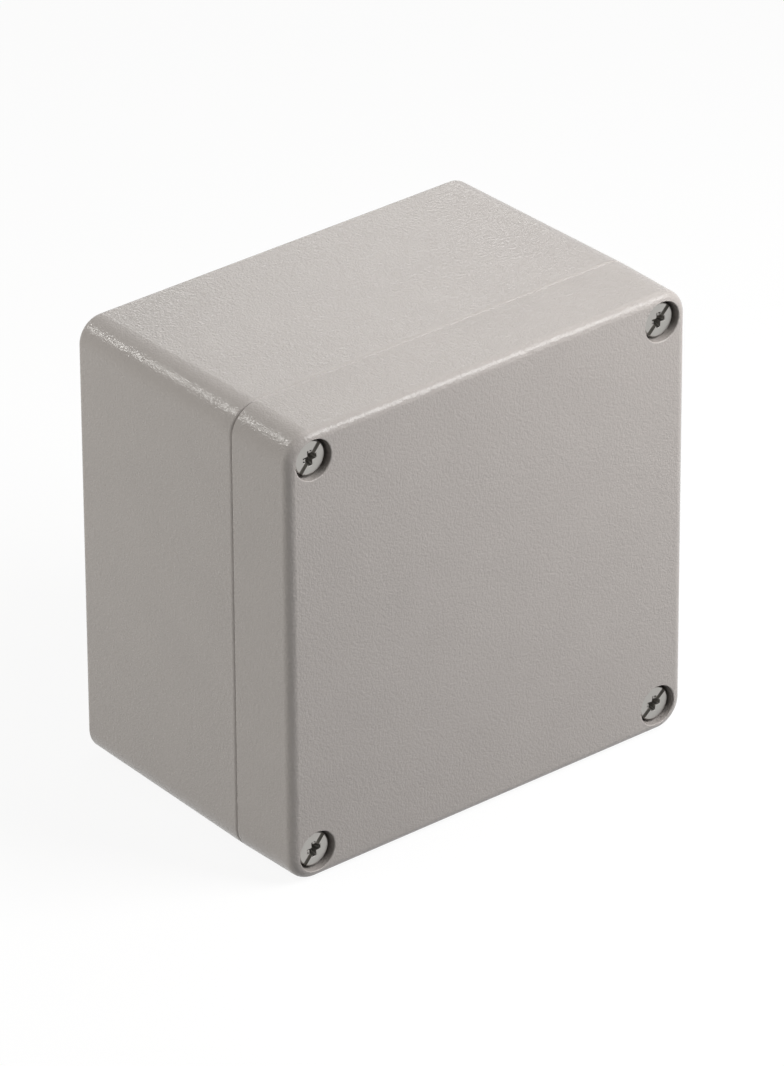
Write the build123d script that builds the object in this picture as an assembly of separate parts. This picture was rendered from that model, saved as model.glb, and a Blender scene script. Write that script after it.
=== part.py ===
from build123d import *
import os

# Frame and driving dimensions
# Millimetres. X runs to the right, Z up, and the lid faces -Y.
# The origin is the middle of the face that lies on the wall, and every depth below is a
# distance in front of that face.

# Overall size, at the seam where base and lid meet
width = 122.0
height = 120.0
depth = 80.0
lid_depth = 20.5

# Outside form of the two castings
corner_radius = 7.5
base_draft = 1.0
lid_draft = 0.8
front_edge_radius = 2.4
rear_edge_radius = 1.5
base_seam_radius = 0.8
lid_seam_radius = 0.5

# Walls of the castings
wall = 4.5
base_floor = 4.0
lid_plate = 4.0
core_draft = 1.0
step_radius = 4.0
inner_edge_radius = 1.5

# Lid screws, one in each corner
screw_from_side = 8.0
screw_from_top = 7.5
thread_diameter = 6.0
thread_pitch = 1.0
thread_clearance = 0.05
thread_hole_depth = 16.0
thread_countersink = 0.6
screw_length = 25.0
screw_tip_chamfer = 0.8
head_diameter = 8.8
head_height = 3.6
head_edge_radius = 0.4
head_sunk = 1.4
slot_width = 1.3
slot_depth = 1.1
cross_length = 4.0
cross_width = 1.2
cross_depth = 2.2
slot_turn = {"top_left": 50, "top_right": 44, "bottom_left": 50, "bottom_right": 40}

# Screw recess in the lid
recess_diameter = 10.4
recess_lip_radius = 0.3
shank_hole_diameter = 6.6
web_thickness = 2.5

# Captive ring on the neck of each lid screw
ring_diameter = 8.8
ring_bore_diameter = 9.0
ring_thickness = 1.6
ring_slit = 1.0
ring_clearance = 0.05
ring_above_seam = 0.2

# Wall fixings beside the lid screws, in open pockets outside the seal
fixing_from_screw = 12.0
fixing_from_top = 8.0
fixing_hole_diameter = 6.5
fixing_pocket_diameter = 10.5
fixing_pad = 7.0
pocket_wall = 3.25
lid_pocket_depth = 12.0

# Seal: a tongue on the base that stands in a groove in the lid
tongue_inset = 0.2
tongue_width = 1.6
tongue_height = 2.5
tongue_edge_radius = 0.3
groove_width = 3.0
groove_depth = 4.8
gasket_clearance = 0.05
gasket_gap = 0.3
lip_width = 1.7

# Threaded bosses on the floor for a rail or plate
boss_spacing_x = 80.0
boss_spacing_z = 60.0
boss_diameter = 9.0
boss_height = 8.0
boss_hole_diameter = 3.3
boss_hole_depth = 7.0

# Earth terminals, one in the base and one in the lid
earth_from_wall = 6.0
earth_to_side = 18.0
earth_pad_width = 10.0
base_earth_pad_height = 6.0
lid_earth_pad_height = 4.5
earth_thread_diameter = 4.0
earth_thread_clearance = 0.05
earth_screw_length = 7.0
earth_hole_spare = 0.8
earth_head_diameter = 7.6
earth_head_height = 2.6
earth_slot_width = 1.2
earth_slot_depth = 1.2
saddle_width = 8.6
saddle_thickness = 1.2
saddle_lip = 1.2
saddle_hole_diameter = 4.5
spring_washer_diameter = 7.0
spring_washer_bore = 4.3
spring_washer_thickness = 1.0
spring_washer_slit = 0.8

# Places that follow from the driving dimensions
seam = depth - lid_depth
screw_x = width / 2 - screw_from_side
screw_z = height / 2 - screw_from_top
fixing_x = screw_x - fixing_from_screw
fixing_z = height / 2 - fixing_from_top
step_x = fixing_x - fixing_pocket_diameter / 2 - pocket_wall
step_z = fixing_z - fixing_pocket_diameter / 2 - pocket_wall
tongue_middle = tongue_inset + tongue_width / 2
groove_outside = tongue_middle + groove_width / 2
groove_inside = tongue_middle - groove_width / 2
lip_inside = groove_inside - lip_width
head_seat = depth - head_sunk - head_height
ring_back = seam + ring_above_seam
ring_front = ring_back + ring_thickness
screw_travel = head_seat - web_thickness - ring_front - ring_above_seam
# The neck is as thick as the core of the thread
neck_diameter = thread_diameter - thread_pitch

corners = {
    "top_left": (-1, 1),
    "top_right": (1, 1),
    "bottom_left": (-1, -1),
    "bottom_right": (1, -1),
}


def facing_front(distance):
    """Plane in front of the wall face that looks out of the lid."""
    return Plane.XZ.offset(distance)


def facing_wall(distance):
    """Plane in front of the wall face that looks back at the wall."""
    return Plane((0, -distance, 0), x_dir=(1, 0, 0), z_dir=(0, 1, 0))


def bar(radius, back, front, x=0.0, z=0.0):
    """Round bar along the depth of the box, from one depth to another."""
    upright = Cylinder(radius, front - back, align=(Align.CENTER, Align.CENTER, Align.MIN))
    return facing_front(back) * Pos(x, z) * upright


def hollow_outline(grow=0.0):
    """Outline of the hollow at the seam, which steps inwards round the four corners."""
    across = Rectangle(width - 2 * wall, 2 * step_z)
    upright = Rectangle(2 * step_x, height - 2 * wall)
    outline = across + upright
    outline = fillet(outline.vertices(), step_radius)
    if grow:
        outline = offset(outline, grow, kind=Kind.ARC)
    return outline


def band(outside, inside, back, front):
    """Upright band that follows the hollow's outline, between two offsets from it."""
    section = hollow_outline(outside) - hollow_outline(inside)
    return extrude(facing_front(back) * section, amount=front - back)


def rounded_disc(radius, thickness, edge_radius):
    """Disc on the local XY plane with a rounded upper edge."""
    disc = Cylinder(radius, thickness, align=(Align.CENTER, Align.CENTER, Align.MIN))
    return fillet(disc.edges().sort_by(Axis.Z)[-1], edge_radius)


# Base casting
def base_outside():
    """Outer block of the base, which narrows towards the wall."""
    outline = RectangleRounded(width, height, corner_radius)
    block = extrude(facing_front(seam) * outline, amount=-seam, taper=base_draft)
    block = fillet(block.faces().sort_by(Axis.Y)[-1].edges(), rear_edge_radius)
    return fillet(block.faces().sort_by(Axis.Y)[0].edges(), base_seam_radius)


def base_hollow():
    """Stepped space inside the base, with a rounded floor edge."""
    outline = facing_front(seam) * hollow_outline()
    core = extrude(outline, amount=base_floor - seam, taper=core_draft)
    return fillet(core.faces().sort_by(Axis.Y)[-1].edges(), inner_edge_radius)


def floor_bosses():
    """Four tapered bosses with blind threaded holes."""
    boss = extrude(Circle(boss_diameter / 2), amount=boss_height, taper=core_draft)
    hole = Cylinder(
        boss_hole_diameter / 2,
        boss_hole_depth,
        align=(Align.CENTER, Align.CENTER, Align.MAX),
    )
    boss -= Pos(0, 0, boss_height) * hole
    spots = GridLocations(boss_spacing_x, boss_spacing_z, 2, 2)
    return [facing_front(base_floor) * spot * boss for spot in spots]


def earth_z(wall_line):
    """Height of an earth terminal that stands clear of the lower wall."""
    return earth_from_wall - wall_line


def base_earth_seat():
    """Depth of the face that the earth terminal of the base stands on."""
    return base_floor + base_earth_pad_height


def lid_earth_seat():
    """Depth of the face that the earth terminal of the lid stands on."""
    return depth - lid_plate - lid_earth_pad_height


def base_earth_place():
    """Seat of the base's earth terminal, looking out of the box."""
    return facing_front(base_earth_seat()) * Pos(-earth_to_side, earth_z(height / 2 - wall))


def lid_earth_place():
    """Seat of the lid's earth terminal, looking back at the wall."""
    spot = Pos(earth_to_side, -earth_z(height / 2 - wall + lip_inside))
    return facing_wall(lid_earth_seat()) * spot * Rot(0, 0, 180)


def earth_pad(pad_height, to_wall):
    """Square pad below an earth terminal, joined to the wall beside it."""
    length = earth_pad_width / 2 + to_wall
    pad = Box(earth_pad_width, length, pad_height, align=(Align.CENTER, Align.MAX, Align.MAX))
    return Pos(0, earth_pad_width / 2, 0) * pad


def earth_hole():
    """Threaded hole below an earth terminal."""
    grip = earth_screw_length - saddle_lip - saddle_thickness - spring_washer_thickness
    radius = earth_thread_diameter / 2 + earth_thread_clearance
    return Cylinder(radius, grip + earth_hole_spare, align=(Align.CENTER, Align.CENTER, Align.MAX))


def countersink(radius, x, z):
    """Cone that opens the mouth of a threaded hole in the base."""
    wide = radius + thread_countersink
    mouth = Cone(radius, wide, thread_countersink, align=(Align.CENTER, Align.CENTER, Align.MAX))
    return facing_front(seam) * Pos(x, z) * mouth


def make_base():
    """Base casting with its corner blocks, seal tongue, bosses and holes."""
    base = base_outside() - base_hollow()
    base += rounded_tongue()
    base += floor_bosses()
    base += base_earth_place() * earth_pad(base_earth_pad_height, earth_from_wall)
    base -= base_earth_place() * earth_hole()
    for side, level in corners.values():
        x = side * screw_x
        z = level * screw_z
        hole_radius = thread_diameter / 2 + thread_clearance
        base -= bar(hole_radius, seam - thread_hole_depth, seam, x, z)
        base -= countersink(hole_radius, x, z)
        x = side * fixing_x
        z = level * fixing_z
        base -= bar(fixing_pocket_diameter / 2, fixing_pad, seam, x, z)
        base -= bar(fixing_hole_diameter / 2, 0, fixing_pad, x, z)
    return base


def rounded_tongue():
    """Tongue that runs round the rim and presses into the gasket."""
    tongue = band(tongue_middle + tongue_width / 2, tongue_inset, seam, seam + tongue_height)
    return fillet(tongue.faces().sort_by(Axis.Y)[0].edges(), tongue_edge_radius)


# Lid casting
def lid_outside():
    """Outer block of the lid, which narrows towards the front."""
    outline = RectangleRounded(width, height, corner_radius)
    block = extrude(facing_front(seam) * outline, amount=lid_depth, taper=lid_draft)
    block = fillet(block.faces().sort_by(Axis.Y)[0].edges(), front_edge_radius)
    return fillet(block.faces().sort_by(Axis.Y)[-1].edges(), lid_seam_radius)


def lid_hollow():
    """Stepped space inside the lid, with a rounded inner edge."""
    outline = facing_front(seam) * hollow_outline(lip_inside)
    core = extrude(outline, amount=lid_depth - lid_plate, taper=core_draft)
    return fillet(core.faces().sort_by(Axis.Y)[0].edges(), inner_edge_radius)


def screw_recess():
    """Round recess for a screw head, with a rounded lip, about the local Z axis."""
    radius = recess_diameter / 2
    floor_level = -(head_sunk + head_height)
    lip = recess_lip_radius
    with BuildSketch(Plane.XZ) as profile:
        with BuildLine():
            mouth = Line((0, lip), (radius + lip, lip))
            edge = Line(mouth @ 1, (radius + lip, 0))
            RadiusArc(edge @ 1, (radius, -lip), -lip)
            Polyline((radius, -lip), (radius, floor_level), (0, floor_level), (0, lip))
        make_face()
    return revolve(profile.sketch, Axis.Z)


def make_lid():
    """Lid casting with its seal groove, screw columns and recesses."""
    lid = lid_outside() - lid_hollow()
    lid -= band(groove_outside, groove_inside, seam, seam + groove_depth)
    lid += lid_earth_place() * earth_pad(lid_earth_pad_height, earth_from_wall)
    lid -= lid_earth_place() * earth_hole()
    for side, level in corners.values():
        x = side * screw_x
        z = level * screw_z
        lid -= facing_front(depth) * Pos(x, z) * screw_recess()
        lid -= bar(shank_hole_diameter / 2, seam, head_seat, x, z)
        lid -= bar(ring_bore_diameter / 2, seam, head_seat - web_thickness, x, z)
        x = side * fixing_x
        z = level * fixing_z
        lid -= bar(fixing_pocket_diameter / 2, seam, seam + lid_pocket_depth, x, z)
    return lid


def make_gasket():
    """Closed seal that fills the bottom of the lid's groove."""
    back = seam + tongue_height + gasket_gap
    front = seam + groove_depth
    return band(groove_outside - gasket_clearance, groove_inside + gasket_clearance, back, front)


# Lid screws and their captive rings
def cross_recess(length, blade, deep):
    """Tapered cross for a screwdriver, cut down from the local XY plane."""
    outline = Rectangle(length, blade) + Rectangle(blade, length)
    foot = Pos(0, 0, -deep) * (Rectangle(length / 2, blade / 2) + Rectangle(blade / 2, length / 2))
    return loft([outline.face(), foot.face()])


def make_lid_screw(turn):
    """Captive lid screw about the local Z axis, with its head seat on the XY plane."""
    top = head_height
    screw = rounded_disc(head_diameter / 2, head_height, head_edge_radius)
    slot = Box(head_diameter * 2, slot_width, slot_depth, align=(Align.CENTER, Align.CENTER, Align.MAX))
    screw -= Pos(0, 0, top) * slot
    screw -= Pos(0, 0, top) * cross_recess(cross_length, cross_width, cross_depth)
    shank = Cylinder(thread_diameter / 2, screw_length, align=(Align.CENTER, Align.CENTER, Align.MAX))
    shank = chamfer(shank.edges().sort_by(Axis.Z)[0], screw_tip_chamfer)
    neck_top = ring_front - head_seat + ring_clearance
    neck_length = ring_thickness + 2 * ring_clearance
    collar = Cylinder(thread_diameter, neck_length, align=(Align.CENTER, Align.CENTER, Align.MAX))
    collar -= Cylinder(neck_diameter / 2, neck_length * 3)
    shank -= Pos(0, 0, neck_top) * collar
    return Rot(0, 0, turn) * (screw + shank)


def make_captive_ring(turn):
    """Split ring that snaps on the neck of a lid screw, with its back on the XY plane."""
    bore = neck_diameter / 2 + ring_clearance
    section = Circle(ring_diameter / 2) - Circle(bore)
    section -= Pos(ring_diameter / 2, 0) * Rectangle(ring_diameter, ring_slit)
    return Rot(0, 0, turn) * extrude(section, amount=ring_thickness)


# Earth terminals, built about the local Z axis with the pad on the XY plane
def make_saddle():
    """Clamp plate with two lips that hold the conductor below it."""
    level = saddle_lip
    plate = Box(saddle_width, saddle_width, saddle_thickness, align=(Align.CENTER, Align.CENTER, Align.MIN))
    saddle = Pos(0, 0, level) * plate
    lip = Box(saddle_thickness, saddle_width, saddle_lip, align=(Align.CENTER, Align.CENTER, Align.MIN))
    for side in (-1, 1):
        saddle += Pos(side * (saddle_width - saddle_thickness) / 2, 0, 0) * lip
    hole = Cylinder(saddle_hole_diameter / 2, 4 * saddle_thickness)
    return saddle - Pos(0, 0, level) * hole


def make_spring_washer():
    """Spring washer with a slanted slit."""
    section = Circle(spring_washer_diameter / 2) - Circle(spring_washer_bore / 2)
    washer = extrude(section, amount=spring_washer_thickness)
    cut = Box(spring_washer_diameter, spring_washer_slit, 4 * spring_washer_thickness)
    cut = Pos(spring_washer_diameter / 2, 0, spring_washer_thickness / 2) * Rot(30, 0, 0) * cut
    return Pos(0, 0, saddle_lip + saddle_thickness) * (washer - cut)


def make_earth_screw():
    """Slotted cross screw of an earth terminal."""
    seat = saddle_lip + saddle_thickness + spring_washer_thickness
    screw = rounded_disc(earth_head_diameter / 2, earth_head_height, earth_head_height / 3)
    slot = Box(
        2 * earth_head_diameter,
        earth_slot_width,
        earth_slot_depth,
        align=(Align.CENTER, Align.CENTER, Align.MAX),
    )
    screw -= Pos(0, 0, earth_head_height) * slot
    shank = Cylinder(
        earth_thread_diameter / 2,
        earth_screw_length,
        align=(Align.CENTER, Align.CENTER, Align.MAX),
    )
    return Pos(0, 0, seat) * (screw + shank)


def earth_terminal(name, place):
    """The three pieces of one earth terminal, by node name."""
    return {
        f"{name}_earth_clamp": place * make_saddle(),
        f"{name}_earth_spring_washer": place * make_spring_washer(),
        f"{name}_earth_screw": place * make_earth_screw(),
    }


def make_parts():
    """Every piece of the box, by node name."""
    parts = {"base": make_base(), "lid": make_lid(), "gasket": make_gasket()}
    for corner, (side, level) in corners.items():
        spot = Pos(side * screw_x, level * screw_z)
        turn = slot_turn[corner]
        parts[f"lid_screw_{corner}"] = facing_front(head_seat) * spot * make_lid_screw(turn)
        parts[f"captive_ring_{corner}"] = facing_front(ring_back) * spot * make_captive_ring(turn)
    parts.update(earth_terminal("base", base_earth_place()))
    parts.update(earth_terminal("lid", lid_earth_place()))
    return parts


def main():
    """Write one file for each piece."""
    os.makedirs("parts", exist_ok=True)
    for name, shape in make_parts().items():
        export_step(shape, f"parts/{name}.step")
    print(f"screw travel {screw_travel:.2f} mm, {screw_travel / thread_pitch:.2f} turns")
    print(f"wall fixings {2 * fixing_x:.1f} x {2 * fixing_z:.1f} mm")
    print(f"lid screws {2 * screw_x:.1f} x {2 * screw_z:.1f} mm")


main()
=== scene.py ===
# %% [markdown]
# # A die cast aluminium box
#
# This lesson dresses a sealed die cast box in Blender. The two castings, their screws and the
# earth terminals come from the construction model at their real size. What is added here is the
# finish of every surface, the screw threads, the softened edges of the small parts and the
# rubber seal, and then a small studio with the camera of the photograph.
#
# Lengths are in metres, because Blender works in metres. A length that is easier to think of in
# millimetres is written as a number times `MM`.

# %% Load the frame
import bmesh
import bpy
import math
from mathutils import Matrix, Vector, noise


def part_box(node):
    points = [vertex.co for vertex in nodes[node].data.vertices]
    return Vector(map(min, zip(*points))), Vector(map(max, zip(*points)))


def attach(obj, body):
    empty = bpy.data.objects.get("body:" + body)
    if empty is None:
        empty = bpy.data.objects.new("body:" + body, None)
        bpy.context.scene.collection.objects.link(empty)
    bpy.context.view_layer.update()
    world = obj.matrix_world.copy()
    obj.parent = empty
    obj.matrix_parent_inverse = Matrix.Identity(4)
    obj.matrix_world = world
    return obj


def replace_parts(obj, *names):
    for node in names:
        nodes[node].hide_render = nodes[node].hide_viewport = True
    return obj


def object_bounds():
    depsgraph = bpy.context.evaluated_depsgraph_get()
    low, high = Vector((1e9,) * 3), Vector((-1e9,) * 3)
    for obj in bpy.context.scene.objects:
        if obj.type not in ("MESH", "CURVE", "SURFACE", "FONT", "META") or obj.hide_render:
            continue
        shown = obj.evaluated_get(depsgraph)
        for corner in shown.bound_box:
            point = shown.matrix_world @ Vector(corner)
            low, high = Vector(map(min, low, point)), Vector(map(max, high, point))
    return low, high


MM = 0.001

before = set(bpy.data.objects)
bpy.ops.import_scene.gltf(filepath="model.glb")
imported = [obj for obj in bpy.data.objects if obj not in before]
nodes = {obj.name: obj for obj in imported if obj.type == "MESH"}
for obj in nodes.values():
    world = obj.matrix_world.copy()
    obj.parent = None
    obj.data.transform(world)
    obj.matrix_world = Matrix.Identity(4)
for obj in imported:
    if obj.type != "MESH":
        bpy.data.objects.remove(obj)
cad_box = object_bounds()
corners = ["top_left", "top_right", "bottom_left", "bottom_right"]
print("pieces from the construction model:", len(nodes))
print("width, depth and height in mm:", [round(v / MM, 1) for v in cad_box[1] - cad_box[0]])

# %% [markdown]
# ## Colours and nodes
#
# Colours are picked on a screen, so they are written as sRGB hex values. Shaders add up light,
# so they need linear values. One function turns one into the other.
#
# A material is a small graph of nodes. One function adds any node, sets its options, and fills
# or links its inputs. An input that is given as a node is linked to that node's first output.
# All the materials below are built with it.

# %% Colours and nodes
def linear(code):
    """Linear RGBA of an sRGB hex colour."""
    channels = [int(code[start:start + 2], 16) / 255 for start in (1, 3, 5)]
    straight = [c / 12.92 if c <= 0.04045 else ((c + 0.055) / 1.055) ** 2.4 for c in channels]
    return (*straight, 1.0)


def add_node(tree, kind, inputs=None, **settings):
    """Adds a node, sets its options, and sets or links its inputs."""
    node = tree.nodes.new("ShaderNode" + kind)
    for name, value in settings.items():
        setattr(node, name, value)
    for name, value in (inputs or {}).items():
        if isinstance(value, bpy.types.Node):
            value = value.outputs[0]
        if isinstance(value, bpy.types.NodeSocket):
            tree.links.new(value, node.inputs[name])
        else:
            node.inputs[name].default_value = value
    return node


def new_material(name):
    """An empty material, its node tree, and the place on the piece that its patterns follow."""
    material = bpy.data.materials.new(name)
    material.use_nodes = True
    tree = material.node_tree
    tree.nodes.clear()
    return material, tree, add_node(tree, "TexCoord").outputs["Object"]


print("helpers ready, a mid grey is", [round(value, 3) for value in linear("#808080")])

# %% [markdown]
# ## The coating of the castings
#
# The castings are pressure die cast aluminium with a structured polyester powder coat. The
# powder melts in an oven and sets with a fine, slightly leathery grain, which hides the marks
# of the mould. It gives the eye a warm light grey with a soft sheen: broad highlights on the
# rounded edges, that break into small grains where a lamp grazes them.
#
# The grain is far too small to model as a mesh, so it is relief in the shader, in two sizes:
# blobs of about a millimetre from the flow of the powder, and a finer grain of about half of
# that. The colour drifts very slightly over the casting, because the coat isn't equally thick
# everywhere.

# %% Powder coat
COAT_GREY = "#A9A39F"
COAT_SHADE = "#A39D99"
CLOUD_SIZE = 16 * MM
BLOB_SIZE = 0.9 * MM
BLOB_DEPTH = 0.1 * MM
GRAIN_SIZE = 0.45 * MM
GRAIN_DEPTH = 0.065 * MM

powder_coat, tree, place = new_material("structured_polyester_powder_coat_on_die_cast_aluminium")
clouds = add_node(tree, "TexNoise", {"Vector": place, "Scale": 1 / CLOUD_SIZE, "Detail": 2.0})
tone = {"Fac": clouds, "Color1": linear(COAT_SHADE), "Color2": linear(COAT_GREY)}
sheen_range = {"Value": clouds, "From Min": 0.3, "From Max": 0.7, "To Min": 0.21, "To Max": 0.26}
blobs = add_node(tree, "TexNoise", {"Vector": place, "Scale": 1 / BLOB_SIZE, "Detail": 1.0})
blob_relief = add_node(tree, "Bump", {"Height": blobs, "Distance": BLOB_DEPTH})
grain = add_node(tree, "TexNoise", {"Vector": place, "Scale": 1 / GRAIN_SIZE, "Detail": 2.0})
grain_relief = {"Height": grain, "Distance": GRAIN_DEPTH, "Normal": blob_relief}
coat = {
    "Base Color": add_node(tree, "MixRGB", tone),
    "Roughness": add_node(tree, "MapRange", sheen_range),
    "IOR": 1.5,
    "Normal": add_node(tree, "Bump", grain_relief),
}
add_node(tree, "OutputMaterial", {"Surface": add_node(tree, "BsdfPrincipled", coat)})
print("made", powder_coat.name)

# %% [markdown]
# ## The metals, the nylon and the rubber
#
# The lid screws are turned from A2 stainless steel and tumbled, which leaves a bright, very
# finely pitted skin: silvery, with glints that break up. The clamps of the earth terminals are
# pressed from brass and nickel plated, a touch warmer and smoother. Threads and pads that are
# cut into the casting show bare aluminium. A metal has no colour of its own below its shine, so
# its base colour is the colour of the shine.
#
# The rings that keep the screws in the lid are natural nylon, moulded, milky and slightly
# translucent. The seal is moulded EPDM rubber, nearly black and matt, with a faint bloom.
#
# Each is one shader with one fine relief, so a single function makes them all from a few
# values.

# %% Plain materials
def plain_material(name, colour, relief_size, relief_depth, **inputs):
    """One shader in one colour, with one fine relief."""
    material, tree, place = new_material(name)
    bumps = add_node(tree, "TexNoise", {"Vector": place, "Scale": 1 / relief_size, "Detail": 2.0})
    settings = {"Base Color": linear(colour)}
    settings.update({key.replace("_", " "): value for key, value in inputs.items()})
    settings["Normal"] = add_node(tree, "Bump", {"Height": bumps, "Distance": relief_depth})
    add_node(tree, "OutputMaterial", {"Surface": add_node(tree, "BsdfPrincipled", settings)})
    return material


stainless_steel = plain_material(
    "tumbled_stainless_steel", "#A9A7A3", 0.35 * MM, 0.022 * MM, Metallic=1.0, Roughness=0.3
)
nickel_plated_brass = plain_material(
    "nickel_plated_pressed_brass", "#CFC8B8", 0.4 * MM, 0.006 * MM, Metallic=1.0, Roughness=0.22
)
bare_aluminium = plain_material(
    "machined_bare_aluminium", "#B6B7B7", 0.25 * MM, 0.008 * MM, Metallic=1.0, Roughness=0.42
)
nylon = plain_material(
    "moulded_natural_nylon", "#E2DCCB", 0.5 * MM, 0.01 * MM,
    Roughness=0.42, IOR=1.53, Subsurface_Weight=0.3, Subsurface_Scale=0.6 * MM,
)
seal_rubber = plain_material(
    "moulded_epdm_rubber", "#232324", 0.35 * MM, 0.03 * MM,
    Roughness=0.72, IOR=1.52, Sheen_Weight=0.15, Sheen_Roughness=0.5,
)
print("made", len(bpy.data.materials), "materials so far")

# %% [markdown]
# ## Coated and bare faces of the castings
#
# The whole casting is coated, and then a few places are machined: the threaded holes in the
# corners of the base, and the two pads below the earth terminals, which must touch bare metal.
#
# A mask in the shader could tell them apart, but the faces of those places are separate in the
# mesh already. So the casting gets two materials, and each face picks one by where its corners
# lie.

# %% Coated and bare faces
def centre_of(node):
    """Middle of a piece of the construction model."""
    low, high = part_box(node)
    return (low + high) / 2


seam_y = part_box("lid")[1].y
screw_axis = centre_of("lid_screw_top_right")
COUNTERSINK_RADIUS = 3.7 * MM
EARTH_HOLE_RADIUS = 2.1 * MM
EARTH_PAD_REACH = (5.1 * MM, 11.1 * MM)
CLOSE = 0.02 * MM


def in_threaded_corner(point):
    """True inside the thread or countersink of a corner hole of the base."""
    off = math.hypot(abs(point.x) - screw_axis.x, abs(point.z) - screw_axis.z)
    return off < COUNTERSINK_RADIUS and point.y > seam_y - CLOSE


def on_earth_pad(point, terminal, pad_y):
    """True on the machined face below an earth terminal, or in its hole."""
    off_x, off_z = abs(point.x - terminal.x), abs(point.z - terminal.z)
    within_pad = off_x < EARTH_PAD_REACH[0] and off_z < EARTH_PAD_REACH[1]
    on_face = within_pad and abs(point.y - pad_y) < CLOSE
    return on_face or math.hypot(off_x, off_z) < EARTH_HOLE_RADIUS


def finish_casting(node, is_machined):
    """Coats a casting, but leaves each face bare whose corners all lie on a machined place."""
    mesh = nodes[node].data
    mesh.materials.clear()
    mesh.materials.append(powder_coat)
    mesh.materials.append(bare_aluminium)
    bare = 0
    for face in mesh.polygons:
        machined = all(is_machined(mesh.vertices[index].co) for index in face.vertices)
        face.material_index = int(machined)
        bare += machined
    print(node, "has", bare, "bare faces of", len(mesh.polygons))


base_pad, lid_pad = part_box("base_earth_clamp")[1].y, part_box("lid_earth_clamp")[0].y
base_terminal, lid_terminal = centre_of("base_earth_clamp"), centre_of("lid_earth_clamp")


def machined_on_base(point):
    """True where the base is machined."""
    return in_threaded_corner(point) or on_earth_pad(point, base_terminal, base_pad)


def machined_on_lid(point):
    """True where the lid is machined."""
    return on_earth_pad(point, lid_terminal, lid_pad)


finish_casting("base", machined_on_base)
finish_casting("lid", machined_on_lid)

# %% [markdown]
# ## Meshes from rings of points
#
# A screw is a turned part: its surface is a stack of rings round one axis. A thread only
# differs in that its rings climb by one pitch in each turn, so a ring ends where a later one
# begins. Both kinds can share one grid of points, with the same columns, and then form one
# closed skin.
#
# The columns start at the angle of the screwdriver slot, so that the slot cuts the head evenly.
# A local frame is used, with the head up; it is then turned so that the head looks out of the
# lid, or back at the wall. Flat faces keep an even shine next to narrow rounded edges if their
# shading is weighted by area, which one modifier does.

# %% Rings and skins
COLUMNS = 64
MERGE = 0.0002 * MM
SMOOTH_BELOW = math.radians(50)
TO_FRONT = Matrix(((1, 0, 0), (0, 0, -1), (0, 1, 0)))
TO_WALL = Matrix(((1, 0, 0), (0, 0, 1), (0, -1, 0)))


def ring(height, radius):
    """One closed ring, as a height and a radius for each column."""
    return [(height, radius)] * (COLUMNS + 1)


def thread_rings(low, high, pitch, outline, start, limit):
    """Rings that climb one pitch a turn. The outline gives the radius over one pitch."""
    rings = []
    for turn in range(math.floor(low / pitch) - 2, math.ceil(high / pitch) + 1):
        for share, radius in outline:
            climbing = []
            for column in range(COLUMNS + 1):
                height = (turn + share + start / math.tau + column / COLUMNS) * pitch
                height = min(max(height, low), high)
                climbing.append((height, limit(height, radius)))
            rings.append(climbing)
    return rings


def skin(rings, start, closed=False):
    """A closed bmesh over rings, with flat ends, or joined end to end."""
    bm = bmesh.new()
    grid = []
    for points in rings:
        angles = [start + math.tau * column / COLUMNS for column in range(COLUMNS + 1)]
        row = [(r * math.cos(a), r * math.sin(a), h) for a, (h, r) in zip(angles, points)]
        grid.append([bm.verts.new(point) for point in row])
    pairs = list(zip(grid, grid[1:]))
    if closed:
        pairs.append((grid[-1], grid[0]))
    for below, above in pairs:
        for column in range(COLUMNS):
            bm.faces.new((below[column], below[column + 1], above[column + 1], above[column]))
    if not closed:
        bm.faces.new(grid[0][:COLUMNS])
        bm.faces.new(grid[-1][:COLUMNS])
    bmesh.ops.remove_doubles(bm, verts=bm.verts, dist=MERGE)
    bmesh.ops.dissolve_degenerate(bm, edges=bm.edges, dist=MERGE)
    bmesh.ops.recalc_face_normals(bm, faces=bm.faces)
    return bm


def add_piece(name, bm, material, body):
    """Turns a bmesh into a piece that moves with a body."""
    mesh = bpy.data.meshes.new(name)
    bm.to_mesh(mesh)
    bm.free()
    mesh.materials.append(material)
    mesh.shade_smooth()
    mesh.set_sharp_from_angle(angle=SMOOTH_BELOW)
    piece = bpy.data.objects.new(name, mesh)
    bpy.context.scene.collection.objects.link(piece)
    shading = piece.modifiers.new("even_shading", "WEIGHTED_NORMAL")
    shading.keep_sharp = True
    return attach(piece, body)


print("columns in a turned part:", COLUMNS)

# %% [markdown]
# ## Softened edges
#
# No real edge is perfectly sharp. A pressed plate has a small burr radius, a turned edge is
# broken with a file, and that thin line catches the light. The bevel tool gives each sharp edge
# two narrow faces. It is asked only for edges that turn by more than a given angle.

# %% Softened edges
SHARP = math.radians(35)
FLAT = math.radians(0.5)
CLAMP_SOFTENING = 0.15 * MM
WASHER_SOFTENING = 0.08 * MM
CAPTIVE_RING_SOFTENING = 0.15 * MM


def soften(bm, width, lowest=-math.inf):
    """Rounds the sharp edges above a height with two narrow faces each."""
    edges = []
    for edge in bm.edges:
        high_enough = min(vert.co.z for vert in edge.verts) > lowest
        if high_enough and edge.is_manifold and edge.calc_face_angle(0) > SHARP:
            edges.append(edge)
    bmesh.ops.bevel(
        bm, geom=edges, affect="EDGES",
        offset=width, offset_type="OFFSET", segments=2, profile=0.5,
    )


def softened_copy(node, width, material, body):
    """A piece of the construction model with soft edges, which takes its place."""
    bm = bmesh.new()
    bm.from_mesh(nodes[node].data)
    bmesh.ops.remove_doubles(bm, verts=bm.verts, dist=MERGE)
    bmesh.ops.dissolve_limit(bm, angle_limit=FLAT, verts=bm.verts, edges=bm.edges)
    soften(bm, width)
    piece = add_piece(f"softened_{node}", bm, material, body)
    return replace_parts(piece, node)


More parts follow.
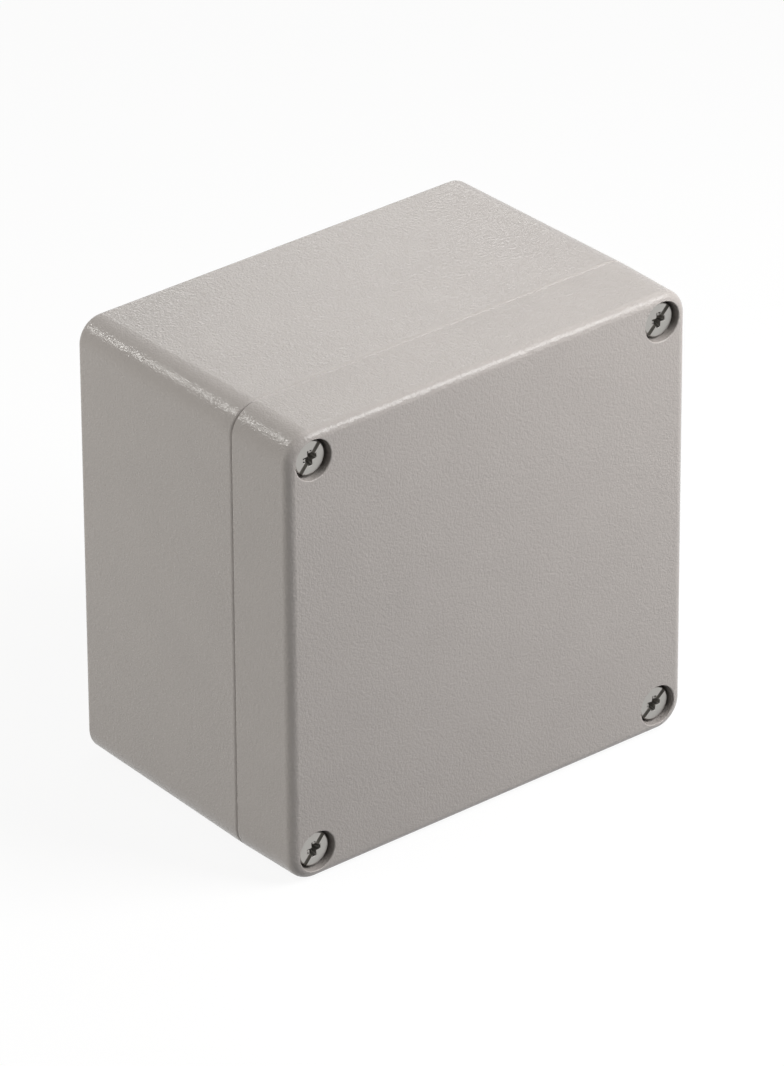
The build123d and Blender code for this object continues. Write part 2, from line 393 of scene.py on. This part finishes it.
for casting in ("base", "lid"):
    clamp = softened_copy(
        f"{casting}_earth_clamp", CLAMP_SOFTENING,
        nickel_plated_brass, casting,
    )
    washer = softened_copy(
        f"{casting}_earth_spring_washer", WASHER_SOFTENING,
        stainless_steel, casting,
    )
    print(clamp.name, len(clamp.data.polygons), "faces,", washer.name, len(washer.data.polygons))
for corner in corners:
    captive_ring = softened_copy(
        f"captive_ring_{corner}", CAPTIVE_RING_SOFTENING, nylon, f"ring_{corner}"
    )
    print(captive_ring.name, len(captive_ring.data.polygons), "faces")

# %% [markdown]
# ## The shape of a metric thread
#
# A metric thread is a row of 60 degree flanks: the crest is an eighth of the pitch wide, and
# the root a quarter, which makes the thread 0.54 of the pitch deep. A real screw is a little
# thinner than its nominal size, so that it turns freely.
#
# The same rule, seen from outside, gives the thread in the casting. Both are counted from the
# wall face, so they are in mesh, and they stay in mesh while a screw turns and climbs.

# %% Thread outlines
M6_PITCH, M4_PITCH = 1.0 * MM, 0.7 * MM
M6_RADIUS, M4_RADIUS = 2.97 * MM, 1.96 * MM
THREAD_DEPTH = 0.54
ROOT_ROUNDING = 0.06


def metric_thread(radius, pitch):
    """(share of the pitch, radius) of an outside thread, from crest to crest."""
    core = radius - THREAD_DEPTH * pitch
    rounding = ROOT_ROUNDING * pitch
    return [
        (-1 / 16, radius),
        (1 / 16, radius),
        (3 / 8 - 1 / 24, core + rounding),
        (3 / 8 + 1 / 24, core),
        (5 / 8 - 1 / 24, core),
        (5 / 8 + 1 / 24, core + rounding),
    ]


m6 = metric_thread(M6_RADIUS, M6_PITCH)
m4 = metric_thread(M4_RADIUS, M4_PITCH)
print("core of the M6 thread in mm:", round(2 * min(radius for _, radius in m6) / MM, 2))

# %% [markdown]
# ## Heads and their slots
#
# The lid screws have a flat cheese head with a slot right across and a small cross in its
# middle, turned by half a right angle from the slot, so they take both kinds of driver. The
# earth screws have a rounder head and a slot only.
#
# The slot and the cross are cut by boolean: tapered blocks are taken away from the head. The
# cut edges are then softened, because the bright line round each cut is what makes it read as
# steel.

# %% Heads
HEAD_BURR = 0.15 * MM
EDGE_STEPS = 6


def rounded_head(seat, top, radius, edge):
    """Rings of a screw head, from its seat to the rim of its flat top."""
    rings = [ring(seat, radius - HEAD_BURR), ring(seat + HEAD_BURR, radius)]
    for step in range(EDGE_STEPS + 1):
        angle = math.pi / 2 * step / EDGE_STEPS
        height = top - edge + edge * math.sin(angle)
        rings.append(ring(height, radius - edge + edge * math.cos(angle)))
    return rings


def tapered_block(length, blade, deep, taper, top, turn):
    """Block that narrows downwards from a height, and runs on above it."""
    above = 1 * MM
    bm = bmesh.new()
    levels = [(top - deep, 1 - taper), (top, 1.0), (top + above, 1 + taper * above / deep)]
    loops = []
    for height, share in levels:
        across, along = blade * share / 2, length * share / 2
        points = [(-along, -across), (along, -across), (along, across), (-along, across)]
        loops.append([bm.verts.new((x, y, height)) for x, y in points])
    for below, over in zip(loops, loops[1:]):
        for side in range(4):
            after = (side + 1) % 4
            bm.faces.new((below[side], below[after], over[after], over[side]))
    bm.faces.new(reversed(loops[0]))
    bm.faces.new(loops[-1])
    bmesh.ops.rotate(bm, verts=bm.verts, matrix=Matrix.Rotation(turn, 3, "Z"))
    return bm


def as_object(name, bm):
    """Turns a bmesh into an object of the scene."""
    mesh = bpy.data.meshes.new(name)
    bm.to_mesh(mesh)
    bm.free()
    made = bpy.data.objects.new(name, mesh)
    bpy.context.scene.collection.objects.link(made)
    return made


def cut(bm, cutters):
    """Takes the cutters away from a bmesh and returns the result."""
    work = as_object("head", bm)
    tools = [as_object("cutter", cutter) for cutter in cutters]
    for tool in tools:
        boolean = work.modifiers.new("cut", "BOOLEAN")
        boolean.operation = "DIFFERENCE"
        boolean.solver = "EXACT"
        boolean.object = tool
    result = bmesh.new()
    result.from_object(work, bpy.context.evaluated_depsgraph_get())
    for thing in [work, *tools]:
        bpy.data.objects.remove(thing)
    bmesh.ops.remove_doubles(result, verts=result.verts, dist=MERGE)
    return result


head_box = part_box("lid_screw_top_right")
print("a lid screw's head measures", round((head_box[1].x - head_box[0].x) / MM, 2), "mm across")

# %% [markdown]
# ## The lid screws
#
# From its tip, a lid screw has a chamfer, the M6 thread, a thin neck in which the captive ring
# sits, a plain shank and the head. The places of the neck and the head are read from the
# construction model, whose own thread is plain. Each screw stopped at its own angle when it was
# tightened, so the four slots point in slightly different directions.

# %% Lid screws
SLOT_TURN = {"top_left": 50, "top_right": 44, "bottom_left": 50, "bottom_right": 40}
HEAD_HEIGHT = 3.6 * MM
HEAD_EDGE = 0.4 * MM
HEAD_SOFTENING = 0.09 * MM
SOFT_ABOVE_SEAT = 0.5 * MM
SHANK_RADIUS = 3.0 * MM
SHANK_CHAMFER = 0.3 * MM
SEAT_FILLET = 0.2 * MM
NECK_RADIUS = 2.45 * MM
RING_PLAY = 0.05 * MM
TIP_RADIUS = 2.2 * MM
SLOT = (12 * MM, 1.15 * MM, 1.1 * MM)
CROSS_LENGTH, CROSS_BLADE, CROSS_DEPTH, CROSS_TAPER = 4.0 * MM, 1.25 * MM, 2.6 * MM, 0.35
CROSS_TURN = math.pi / 4


def lid_screw_rings(corner, start):
    """Rings of a lid screw, and the heights of its seat and top."""
    low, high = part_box(f"lid_screw_{corner}")
    ring_low, ring_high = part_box(f"captive_ring_{corner}")
    tip, top = -high.y, -low.y
    seat = top - HEAD_HEIGHT
    neck_back, neck_front = -ring_high.y - RING_PLAY, -ring_low.y + RING_PLAY

    def limit(height, radius):
        """Chamfers the thread towards the tip and the neck."""
        if height <= tip:
            return TIP_RADIUS
        if height >= neck_back:
            return NECK_RADIUS
        return min(radius, TIP_RADIUS + height - tip, NECK_RADIUS + neck_back - height)

    rings = [ring(tip, TIP_RADIUS)]
    rings += thread_rings(tip, neck_back, M6_PITCH, m6, start, limit)
    rings += [ring(neck_back, NECK_RADIUS), ring(neck_front, NECK_RADIUS)]
    rings += [ring(neck_front + SHANK_CHAMFER, SHANK_RADIUS)]
    rings += [ring(seat - SEAT_FILLET, SHANK_RADIUS), ring(seat, SHANK_RADIUS + SEAT_FILLET)]
    rings += rounded_head(seat, top, (high.x - low.x) / 2, HEAD_EDGE)
    return rings, seat, top


def place_screw(bm, node, to_place, body):
    """Stands a finished screw where the construction model has it."""
    centre = centre_of(node)
    bmesh.ops.transform(bm, matrix=to_place.to_4x4(), verts=bm.verts)
    bmesh.ops.translate(bm, vec=(centre.x, 0, centre.z), verts=bm.verts)
    piece = add_piece(f"threaded_{node}", bm, stainless_steel, body)
    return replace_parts(piece, node)


for corner in corners:
    start = math.radians(SLOT_TURN[corner])
    rings, seat, top = lid_screw_rings(corner, start)
    turn = start + CROSS_TURN
    cross = [
        tapered_block(CROSS_LENGTH, CROSS_BLADE, CROSS_DEPTH, CROSS_TAPER, top, turn),
        tapered_block(CROSS_BLADE, CROSS_LENGTH, CROSS_DEPTH, CROSS_TAPER, top, turn),
    ]
    screw_mesh = cut(skin(rings, start), [tapered_block(*SLOT, 0.0, top, start), *cross])
    soften(screw_mesh, HEAD_SOFTENING, lowest=seat + SOFT_ABOVE_SEAT)
    screw = place_screw(screw_mesh, f"lid_screw_{corner}", TO_FRONT, f"screw_{corner}")
    print(screw.name, len(screw.data.polygons), "faces")

# %% [markdown]
# ## The threads in the casting
#
# With the lid off, the four corner holes of the base look like what they are: cut threads with
# a bright, bare surface. The hole in the construction model is plain, so a thin closed sleeve
# lines it. Inside, it has the screw's own thread with a little play, and it opens out at the
# mouth, where the countersink is.

# %% Threads in the base
HOLE_RADIUS = 3.04 * MM
HOLE_DEPTH = 16 * MM
MOUTH = 0.6 * MM
THREAD_PLAY = 0.06 * MM
SLEEVE_WALL = 0.15 * MM


def base_thread(corner):
    """Sleeve with an inside thread that lines one corner hole of the base."""
    low, high = -seam_y - HOLE_DEPTH, -seam_y - MOUTH
    inside = [(share, radius + THREAD_PLAY) for share, radius in m6]

    def limit(height, radius):
        """Opens the thread out towards both ends."""
        if height <= low or height >= high:
            return HOLE_RADIUS
        return max(radius, HOLE_RADIUS - (height - low), HOLE_RADIUS - (high - height))

    buried = HOLE_RADIUS + SLEEVE_WALL
    rings = [ring(low, HOLE_RADIUS)]
    rings += thread_rings(low, high, M6_PITCH, inside, 0.0, limit)
    rings += [ring(high, HOLE_RADIUS), ring(high, buried), ring(low, buried)]
    bm = skin(rings, 0.0, closed=True)
    centre = centre_of(f"lid_screw_{corner}")
    bmesh.ops.transform(bm, matrix=TO_FRONT.to_4x4(), verts=bm.verts)
    bmesh.ops.translate(bm, vec=(centre.x, 0, centre.z), verts=bm.verts)
    return add_piece(f"base_thread_{corner}", bm, bare_aluminium, "base")


for corner in corners:
    thread = base_thread(corner)
    print(thread.name, len(thread.data.polygons), "faces")

# %% [markdown]
# ## The earth screws
#
# An earth terminal clamps a bare conductor onto the metal of the casting: an M4 screw presses a
# spring washer and a saddle shaped clamp down on it. The screw is made as the lid screws are.
# The one in the base looks out of the box, and the one in the lid looks back at the wall.

# %% Earth screws
EARTH_HEAD_HEIGHT = 2.6 * MM
EARTH_HEAD_EDGE = 0.9 * MM
EARTH_HEAD_SOFTENING = 0.06 * MM
EARTH_SOFT_ABOVE_SEAT = 0.4 * MM
EARTH_TIP_RADIUS = 1.46 * MM
EARTH_SLOT = (10 * MM, 1.2 * MM, 1.2 * MM)
EARTH_SLOT_TURN = math.radians(25)


def earth_screw(node, body, to_place, direction):
    """Slotted M4 screw whose head looks along a direction of the depth axis."""
    low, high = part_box(node)
    tip, top = sorted((low.y * direction, high.y * direction))
    seat = top - EARTH_HEAD_HEIGHT

    def limit(height, radius):
        """Chamfers the thread towards the tip."""
        if height <= tip:
            return EARTH_TIP_RADIUS
        if height >= seat:
            return M4_RADIUS
        return min(radius, EARTH_TIP_RADIUS + height - tip)

    rings = [ring(tip, EARTH_TIP_RADIUS)]
    rings += thread_rings(tip, seat, M4_PITCH, m4, EARTH_SLOT_TURN, limit)
    rings += rounded_head(seat, top, (high.x - low.x) / 2, EARTH_HEAD_EDGE)
    slot = tapered_block(*EARTH_SLOT, 0.0, top, EARTH_SLOT_TURN)
    bm = cut(skin(rings, EARTH_SLOT_TURN), [slot])
    soften(bm, EARTH_HEAD_SOFTENING, lowest=seat + EARTH_SOFT_ABOVE_SEAT)
    return place_screw(bm, node, to_place, body)


for screw in (
    earth_screw("base_earth_screw", "base", TO_FRONT, -1),
    earth_screw("lid_earth_screw", "lid", TO_WALL, 1),
):
    print(screw.name, len(screw.data.polygons), "faces")

# %% [markdown]
# ## The path of the seal
#
# The seal is a moulded EPDM ring that lies in the groove of the lid. Its path is the stepped
# outline of the box's hollow: it passes inside the four corners, where the screws are, so that
# no screw hole has to be tight. One quarter of the path is drawn with three arcs, and mirrored
# for the rest.

# %% Path of the seal
SEAL_WIDTH = 2.9 * MM
OUTER_TURN = 5.0 * MM
INNER_TURN = 3.0 * MM
STEP_X, STEP_Z = 33.5 * MM, 44.5 * MM
SEAL_STEP = 1.5 * MM


def arc(centre, radius, begin, sweep, steps=10):
    """Points along an arc, in the plane of the lid."""
    angles = [begin + sweep * step / steps for step in range(steps + 1)]
    return [(centre[0] + radius * math.cos(a), centre[1] + radius * math.sin(a)) for a in angles]


def stepped_quarter(side_x, top_z):
    """A quarter of the stepped outline, from the right side to the top."""
    quarter_turn = math.pi / 2
    inner_centre = (STEP_X + INNER_TURN, STEP_Z + INNER_TURN)
    first = arc((side_x - OUTER_TURN, STEP_Z - OUTER_TURN), OUTER_TURN, 0, quarter_turn)
    inside = arc(inner_centre, INNER_TURN, -quarter_turn, -quarter_turn)
    last = arc((STEP_X - OUTER_TURN, top_z - OUTER_TURN), OUTER_TURN, 0, quarter_turn)
    return first + inside + last


def whole_outline(quarter):
    """The closed path, mirrored from one quarter."""
    top_left = [(-x, z) for x, z in reversed(quarter)]
    bottom_left = [(-x, -z) for x, z in quarter]
    bottom_right = [(x, -z) for x, z in reversed(quarter)]
    return quarter + top_left + bottom_left + bottom_right


def divided(path, step):
    """The path with points added, so that no two are further apart than a step."""
    points = []
    for here, after in zip(path, path[1:] + path[:1]):
        parts = max(1, math.ceil(math.dist(here, after) / step))
        for part in range(parts):
            share = part / parts
            points.append([a + (b - a) * share for a, b in zip(here, after)])
    return points


seal_low, seal_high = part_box("gasket")
quarter = stepped_quarter(seal_high.x - SEAL_WIDTH / 2, seal_high.z - SEAL_WIDTH / 2)
seal_path = divided(whole_outline(quarter), SEAL_STEP)
seal_length = sum(math.dist(a, b) for a, b in zip(seal_path, seal_path[1:] + seal_path[:1]))
print("length of the seal in mm:", round(seal_length / MM))

# %% [markdown]
# ## The seal itself
#
# The section of the seal is a low D: flat where it lies in the groove, and crowned where the
# tongue of the base presses into it. Use leaves a shallow dent along the crown.
#
# It could be a curve with a bevel, but a swept mesh keeps the section square to the path, and
# lets the surface waver a little, as moulded rubber does.

# %% Seal
SEAL_SIDE = 0.9 * MM
SEAL_CORNER = 0.1 * MM
CROWN_FULLNESS = 0.8
DENT_DEPTH, DENT_WIDTH = 0.14 * MM, 0.5 * MM
WAVER, WAVER_LENGTH = 0.05 * MM, 9 * MM
WAVER_SETTLING = 0.5


def seal_section(steps=18):
    """Points of the D section, as (across, up) from the middle of its flat side."""
    half = SEAL_WIDTH / 2
    crown = seal_high.y - seal_low.y - SEAL_SIDE
    points = [(-half + SEAL_CORNER, 0), (half - SEAL_CORNER, 0), (half, SEAL_CORNER)]
    for step in range(steps + 1):
        angle = math.pi * step / steps
        across = half * math.cos(angle)
        dent = DENT_DEPTH * math.exp(-((across / DENT_WIDTH) ** 2))
        points.append((across, SEAL_SIDE + crown * math.sin(angle) ** CROWN_FULLNESS - dent))
    return points + [(-half, SEAL_CORNER)]


def swept_seal():
    """The section swept round the closed path."""
    bm = bmesh.new()
    count = len(seal_path)
    full_height = seal_high.y - seal_low.y
    loops = []
    for index, here in enumerate(seal_path):
        before, after = seal_path[index - 1], seal_path[(index + 1) % count]
        along = Vector((after[0] - before[0], after[1] - before[1])).normalized()
        out = Vector((along.y, -along.x))
        waver = noise.noise(Vector((here[0], 0, here[1])) / WAVER_LENGTH) * WAVER
        loop = []
        for across, up in seal_section():
            lifted = up + waver * up / full_height - abs(waver) * WAVER_SETTLING
            x, z = here[0] + out.x * across, here[1] + out.y * across
            loop.append(bm.verts.new((x, seal_low.y + max(0, lifted), z)))
        loops.append(loop)
    for index, loop in enumerate(loops):
        after = loops[(index + 1) % count]
        for side in range(len(loop)):
            other = (side + 1) % len(loop)
            bm.faces.new((loop[side], loop[other], after[other], after[side]))
    bmesh.ops.recalc_face_normals(bm, faces=bm.faces)
    return bm


seal = add_piece("moulded_seal", swept_seal(), seal_rubber, "lid")
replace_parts(seal, "gasket")
print("seal:", len(seal.data.polygons), "faces")

# %% [markdown]
# ## The studio floor and the sky
#
# The photograph has a pure white ground. If the floor were lit until it looks white, its glow
# would wash out the underside and the sides of the box. So the floor and the sky are two things
# at once: white to the camera and in mirrored or clear surfaces, and a modest grey when they
# light the box. The Light Path node tells those apart. A part of the white floor is still lit
# by the lamps, so the box keeps a faint shadow.

# %% Floor and sky
FLOOR_GREY = "#989898"
SKY_GREY = 0.02
FLOOR_GLOW = 0.9
FLOOR_SIZE = 12.0


def seen_directly(tree):
    """1 for rays that show the ground itself, and 0 for rays that gather light."""
    rays = add_node(tree, "LightPath").outputs
    seen = rays["Is Camera Ray"]
    for kind in ("Is Glossy Ray", "Is Transmission Ray"):
        seen = add_node(tree, "Math", {0: seen, 1: rays[kind]}, operation="MAXIMUM")
    return seen


floor_paint, tree, _ = new_material("white_studio_floor")
glow = add_node(tree, "Emission", {"Color": (1, 1, 1, 1), "Strength": FLOOR_GLOW})
lit_share = add_node(tree, "BsdfDiffuse", {"Color": (1 - FLOOR_GLOW,) * 3 + (1,)})
shown = add_node(tree, "AddShader", {0: glow, 1: lit_share})
dim = add_node(tree, "BsdfDiffuse", {"Color": linear(FLOOR_GREY)})
floor_mix = add_node(tree, "MixShader", {0: seen_directly(tree), 1: dim, 2: shown})
add_node(tree, "OutputMaterial", {"Surface": floor_mix})

bm = bmesh.new()
bmesh.ops.create_grid(bm, x_segments=1, y_segments=1, size=FLOOR_SIZE / 2)
floor = as_object("studio_floor", bm)
floor.location.z = cad_box[0].z
floor.data.materials.append(floor_paint)

world = bpy.data.worlds.new("soft_sky")
bpy.context.scene.world = world
world.use_nodes = True
tree = world.node_tree
tree.nodes.clear()
grey_sky = add_node(tree, "Background", {"Color": (1, 1, 1, 1), "Strength": SKY_GREY})
white_sky = add_node(tree, "Background", {"Color": (1, 1, 1, 1), "Strength": 1.0})
sky_mix = add_node(tree, "MixShader", {0: seen_directly(tree), 1: grey_sky, 2: white_sky})
add_node(tree, "OutputWorld", {"Surface": sky_mix})
print("floor at height", round(floor.location.z / MM, 2), "mm, sky strength", SKY_GREY)

# %% [markdown]
# ## The lamps
#
# Three soft boxes give the three visible sides their levels. The one in front stands to the
# right and above: the front is brightest at its upper right corner and falls off towards the
# lower left. One hangs overhead and makes the top the brightest side. The one on the left
# leaves the front left edge as a dark soft line.
#
# The coat is a weak mirror, and a strong one at a flat angle. From behind, a large bright soft
# box would turn the whole top white. So the front and the left one light the box without being
# mirrored in it, as with polarised light. A smaller lamp in the middle of the front one is
# mirrored, and draws the shine along the rounded edge above the front.
#
# Two small lamps stand behind the box and show the grain of the coat. One looks low across the
# top, so that each bump has a light and a dark side. The other is mirrored in the long top left
# edge, as a narrow uneven line. It stands far back, so that the line is equally bright along
# the whole edge.
#
# All are area lamps. The front one is plain white and the others are very slightly warmer, as
# the top of the box is in the photograph. Each is placed by a direction and a distance from the
# middle of the box.

# %% Lamps
BOX_MIDDLE = Vector((0, -40 * MM, 0))
FRONT_RIGHT = (0.48, -0.61, 0.62)
WARM_WHITE = "#FFFEFA"
PLAIN_WHITE = "#FFFFFF"


def lamp(name, towards, distance, width, height, watts, colour=WARM_WHITE, mirrored=True):
    """Area lamp in a direction from the box, turned towards it, and mirrored in it or not."""
    data = bpy.data.lights.new(name, "AREA")
    data.shape = "RECTANGLE"
    data.size, data.size_y = width, height
    data.energy = watts
    data.color = linear(colour)[:3]
    made = bpy.data.objects.new(name, data)
    made.visible_glossy = mirrored
    bpy.context.scene.collection.objects.link(made)
    direction = Vector(towards).normalized()
    made.location = BOX_MIDDLE + direction * distance
    made.rotation_mode = "QUATERNION"
    made.rotation_quaternion = direction.to_track_quat("Z", "Y")
    return made


lamps = [
    lamp("front_soft_box", FRONT_RIGHT, 0.55, 0.32, 0.55, 3.08, PLAIN_WHITE, mirrored=False),
    lamp("front_edge_lamp", FRONT_RIGHT, 0.54, 0.32, 0.2, 1.15, PLAIN_WHITE),
    lamp("overhead_soft_box", (0.45, 0.2, 0.87), 0.65, 0.5, 0.5, 0.8),
    lamp("left_soft_box", (-0.93, 0.31, 0.2), 0.7, 0.36, 0.36, 2.6, mirrored=False),
    lamp("rear_right_lamp", (0.56, 0.76, 0.32), 0.7, 0.2, 0.12, 0.22),
    lamp("rear_left_lamp", (-0.46, 0.66, 0.6), 1.0, 0.18, 0.12, 1.42),
]
print("lamps:", [(each.name, each.data.energy) for each in lamps])

# %% [markdown]
# ## The camera
#
# The photograph was taken with a long lens from well above the box and to its left, so the
# box's upright edges stay nearly parallel. The numbers come from the outline of the box in the
# photograph, the line between the castings and the four screw recesses. The camera's own axes
# are built first, with the slight roll of the photograph, and the camera is then moved back
# along its line of sight.

# %% Camera
AZIMUTH, ELEVATION, ROLL = math.radians(-39.3), math.radians(29.2), math.radians(-0.3)
LENS_MM = 286.0
CAMERA_DISTANCE = 2025 * MM
AIM_RIGHT, AIM_UP = 2.2 * MM, -2.4 * MM

back = Vector((
    math.sin(AZIMUTH) * math.cos(ELEVATION),
    -math.cos(AZIMUTH) * math.cos(ELEVATION),
    math.sin(ELEVATION),
))
level_right = Vector((math.cos(AZIMUTH), math.sin(AZIMUTH), 0))
level_up = back.cross(level_right)
right = level_right * math.cos(ROLL) + level_up * math.sin(ROLL)
up = level_up * math.cos(ROLL) - level_right * math.sin(ROLL)

camera = bpy.data.objects.new("camera", bpy.data.cameras.new("camera"))
bpy.context.scene.collection.objects.link(camera)
camera.data.lens = LENS_MM
camera.location = BOX_MIDDLE + right * AIM_RIGHT + up * AIM_UP + back * CAMERA_DISTANCE
camera.rotation_mode = "QUATERNION"
camera.rotation_quaternion = Matrix((right, up, back)).transposed().to_quaternion()
bpy.context.scene.camera = camera
bpy.context.scene.view_settings.view_transform = "Standard"
print("camera at", [round(value, 3) for value in camera.location])
